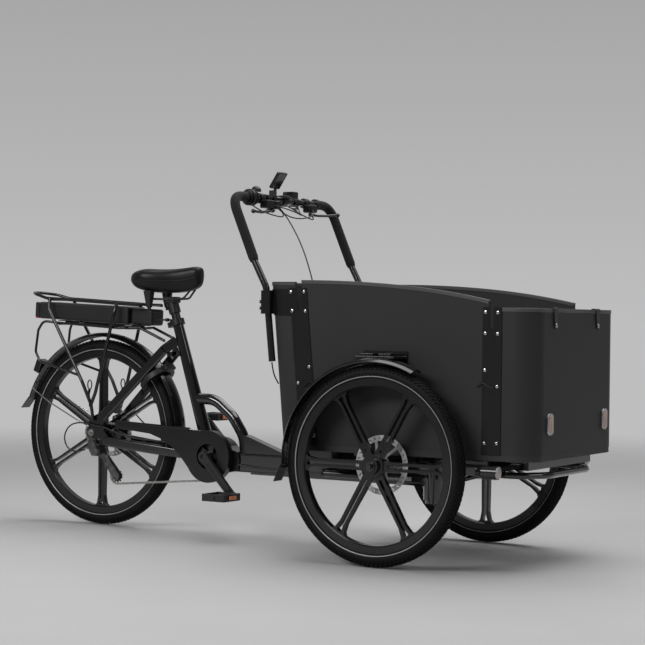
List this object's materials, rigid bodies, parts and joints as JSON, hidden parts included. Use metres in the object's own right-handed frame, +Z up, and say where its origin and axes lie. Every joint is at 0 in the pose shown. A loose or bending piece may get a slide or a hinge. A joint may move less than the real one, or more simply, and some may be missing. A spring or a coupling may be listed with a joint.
{
  "type": "front-box cargo tricycle",
  "caption": "Front-box cargo tricycle: a steered box unit on cast wheels, a curved-tube rear frame with rear-rack battery, chain drive and disc brakes.",
  "frame": {"origin": "middle of the footprint's bounding box, on the ground", "axes": "+X forward, +Y to the rider's left, +Z up"},
  "size_m": [2.196, 0.834, 1.2256],
  "materials": {
    "frame_paint": "gloss black paint",
    "rack_paint": "satin black paint",
    "casing_plastic": "satin black",
    "chain_steel": "bright steel",
    "fender_plastic": "gloss black",
    "lamp_plastic": "gloss black",
    "axle_steel": "zinc plated",
    "caliper_metal": "satin",
    "derailleur_metal": "dark satin",
    "collar_metal": "satin black",
    "lock_plastic": "matte black",
    "damper_metal": "gloss black",
    "cable_sheath": "satin black",
    "battery_plastic": "fine texture",
    "pulley_plastic": "matte black",
    "post_metal": "satin anodised",
    "saddle_steel": "black",
    "saddle_cover": "grained vinyl",
    "crank_metal": "satin black",
    "pedal_plastic": "matte black",
    "cassette_steel": "dark bronze steel",
    "floor_board": "dark coated plywood",
    "box_panel": "dark coated plywood",
    "strip_metal": "satin black",
    "screw_steel": "stainless",
    "reflector_chrome": "polished",
    "bar_metal": "gloss black",
    "grip_foam": "fine foam",
    "control_plastic": "satin black",
    "lever_metal": "satin black",
    "display_plastic": "gloss black",
    "button_red": "gloss red",
    "tyre_rubber": "matte rubber",
    "wheel_cast": "satin black",
    "disc_steel": "brushed stainless"
  },
  "bodies": {
    "rear_frame": {"frame_spine": "frame_paint", "rear_stays": "frame_paint", "drive_unit": "casing_plastic", "chain_case": "casing_plastic", "chain": "chain_steel", "rack": "rack_paint", "rear_fender": "fender_plastic", "rear_lamp": "lamp_plastic", "rear_axle": "axle_steel", "rear_caliper": "caliper_metal", "derailleur": "derailleur_metal", "seat_collar": "collar_metal", "ring_lock": "lock_plastic", "damper_cylinder": "damper_metal", "rear_cables": "cable_sheath"},
    "battery_pack": {"battery": "battery_plastic"},
    "derailleur_arm": {"derailleur_cage": "derailleur_metal"},
    "guide_wheel": {"upper_pulley": "pulley_plastic"},
    "tension_wheel": {"lower_pulley": "pulley_plastic"},
    "shackle": {"lock_shackle": "axle_steel"},
    "clamp_lever": {"seat_lever": "collar_metal"},
    "damper_piston": {"damper_rod": "axle_steel"},
    "seat": {"seatpost": "post_metal", "saddle_frame": "saddle_steel", "saddle": "saddle_cover"},
    "cranks": {"crank_right": "crank_metal", "crank_left": "crank_metal"},
    "right_pedal": {"pedal_right": "pedal_plastic"},
    "left_pedal": {"pedal_left": "pedal_plastic"},
    "rear_wheel_body": {"rear_tyre": "tyre_rubber", "rear_wheel": "wheel_cast", "rear_disc": "disc_steel"},
    "cassette_body": {"cassette": "cassette_steel"},
    "front_right_wheel_body": {"front_right_tyre": "tyre_rubber", "front_right_wheel": "wheel_cast", "front_right_disc": "disc_steel"},
    "front_left_wheel_body": {"front_left_tyre": "tyre_rubber", "front_left_wheel": "wheel_cast", "front_left_disc": "disc_steel"},
    "front_unit": {"front_chassis": "frame_paint", "front_calipers": "caliper_metal", "front_fenders": "fender_plastic", "box_floor": "floor_board", "box_sides": "box_panel", "box_front": "box_panel", "box_rear": "box_panel", "corner_strips": "strip_metal", "box_fixings": "screw_steel", "headlights": "lamp_plastic", "front_reflectors": "reflector_chrome", "handlebar": "bar_metal", "handlebar_clamps": "strip_metal", "foam_grips": "grip_foam", "bar_controls": "control_plastic", "front_cables": "cable_sheath"},
    "right_brake": {"brake_lever_right": "lever_metal"},
    "left_brake": {"brake_lever_left": "lever_metal"},
    "gear_trigger": {"shifter_lever": "control_plastic"},
    "screen": {"display": "display_plastic"},
    "horn_button": {"red_button": "button_red"}
  },
  "joints": [
    {"name": "steering", "type": "hinge", "parent": "rear_frame", "child": "front_unit", "pos_m": [0.602, 0, 0.25], "axis": [0, 0, 1], "range_deg": [-36, 36]},
    {"name": "rear_wheel_spin", "type": "hinge", "parent": "rear_frame", "child": "rear_wheel_body", "pos_m": [-0.732, 0, 0.3295], "axis": [0, 1, 0], "continuous": true},
    {"name": "crank_spin", "type": "hinge", "parent": "rear_frame", "child": "cranks", "pos_m": [-0.232, 0, 0.27], "axis": [0, 1, 0], "continuous": true},
    {"name": "cassette_spin", "type": "hinge", "parent": "rear_frame", "child": "cassette_body", "pos_m": [-0.732, 0, 0.3295], "axis": [0, 1, 0], "continuous": true},
    {"name": "right_pedal_spin", "type": "hinge", "parent": "cranks", "child": "right_pedal", "pos_m": [-0.11498, -0.15, 0.14669], "axis": [0, 1, 0], "continuous": true},
    {"name": "left_pedal_spin", "type": "hinge", "parent": "cranks", "child": "left_pedal", "pos_m": [-0.34902, 0.15, 0.39331], "axis": [0, 1, 0], "continuous": true},
    {"name": "front_right_wheel_spin", "type": "hinge", "parent": "front_unit", "child": "front_right_wheel_body", "pos_m": [0.602, -0.38, 0.304], "axis": [0, 1, 0], "continuous": true},
    {"name": "front_left_wheel_spin", "type": "hinge", "parent": "front_unit", "child": "front_left_wheel_body", "pos_m": [0.602, 0.38, 0.304], "axis": [0, 1, 0], "continuous": true},
    {"name": "damper_slide", "type": "slide", "parent": "rear_frame", "child": "damper_piston", "axis": [1, 0, 0], "range_m": [-0.055, 0.055]},
    {"name": "seatpost_slide", "type": "slide", "parent": "rear_frame", "child": "seat", "axis": [-0.3086, 0, 0.9512], "range_m": [0, 0.12]},
    {"name": "seat_clamp_lever_turn", "type": "hinge", "parent": "rear_frame", "child": "clamp_lever", "pos_m": [-0.437, -0.0235, 0.7316], "axis": [0, 0, 1], "range_deg": [0, 80]},
    {"name": "lock_shackle_turn", "type": "hinge", "parent": "rear_frame", "child": "shackle", "pos_m": [-0.49434, 0, 0.52541], "axis": [-0.6361, 0, 0.7716], "range_deg": [0, 100]},
    {"name": "battery_slide", "type": "slide", "parent": "rear_frame", "child": "battery_pack", "axis": [-0.9992, 0, 0.0401], "range_m": [0, 0.3]},
    {"name": "derailleur_cage_swing", "type": "hinge", "parent": "rear_frame", "child": "derailleur_arm", "pos_m": [-0.698, -0.05, 0.262], "axis": [0, 1, 0], "range_deg": [-12, 0], "stiffness_Nm_per_rad": 2},
    {"name": "guide_wheel_spin", "type": "hinge", "parent": "derailleur_arm", "child": "guide_wheel", "pos_m": [-0.698, -0.05, 0.262], "axis": [0, 1, 0], "continuous": true},
    {"name": "tension_wheel_spin", "type": "hinge", "parent": "derailleur_arm", "child": "tension_wheel", "pos_m": [-0.627, -0.05, 0.181], "axis": [0, 1, 0], "continuous": true},
    {"name": "right_brake_pull", "type": "hinge", "parent": "front_unit", "child": "right_brake", "pos_m": [0.054, -0.118, 1.095], "axis": [-0.7507, 0, -0.6606], "range_deg": [0, 12], "stiffness_Nm_per_rad": 0.6, "springref_deg": -8.59},
    {"name": "left_brake_pull", "type": "hinge", "parent": "front_unit", "child": "left_brake", "pos_m": [0.054, 0.118, 1.095], "axis": [0.7507, 0, 0.6606], "range_deg": [0, 12], "stiffness_Nm_per_rad": 0.6, "springref_deg": -8.59},
    {"name": "gear_trigger_push", "type": "hinge", "parent": "front_unit", "child": "gear_trigger", "pos_m": [0.04, -0.092, 1.098], "axis": [0, 0, 1], "range_deg": [-15, 0], "stiffness_Nm_per_rad": 0.1},
    {"name": "display_tilt", "type": "hinge", "parent": "front_unit", "child": "screen", "pos_m": [0.026, -0.065, 1.16], "axis": [0, 1, 0], "range_deg": [-10, 25]},
    {"name": "horn_button_push", "type": "slide", "parent": "front_unit", "child": "horn_button", "axis": [0, 0, 1], "range_m": [0, 0.0012], "stiffness_N_per_m": 300, "springref_m": -0.001}
  ],
  "couplings": [
    {"joint": "cassette_spin", "follows": "crank_spin", "ratio": 2.375},
    {"joint": "guide_wheel_spin", "follows": "crank_spin", "ratio": -3.4545},
    {"joint": "tension_wheel_spin", "follows": "crank_spin", "ratio": 3.4545},
    {"joint": "damper_slide", "follows": "steering", "m_per_rad": 0.078}
  ]
}
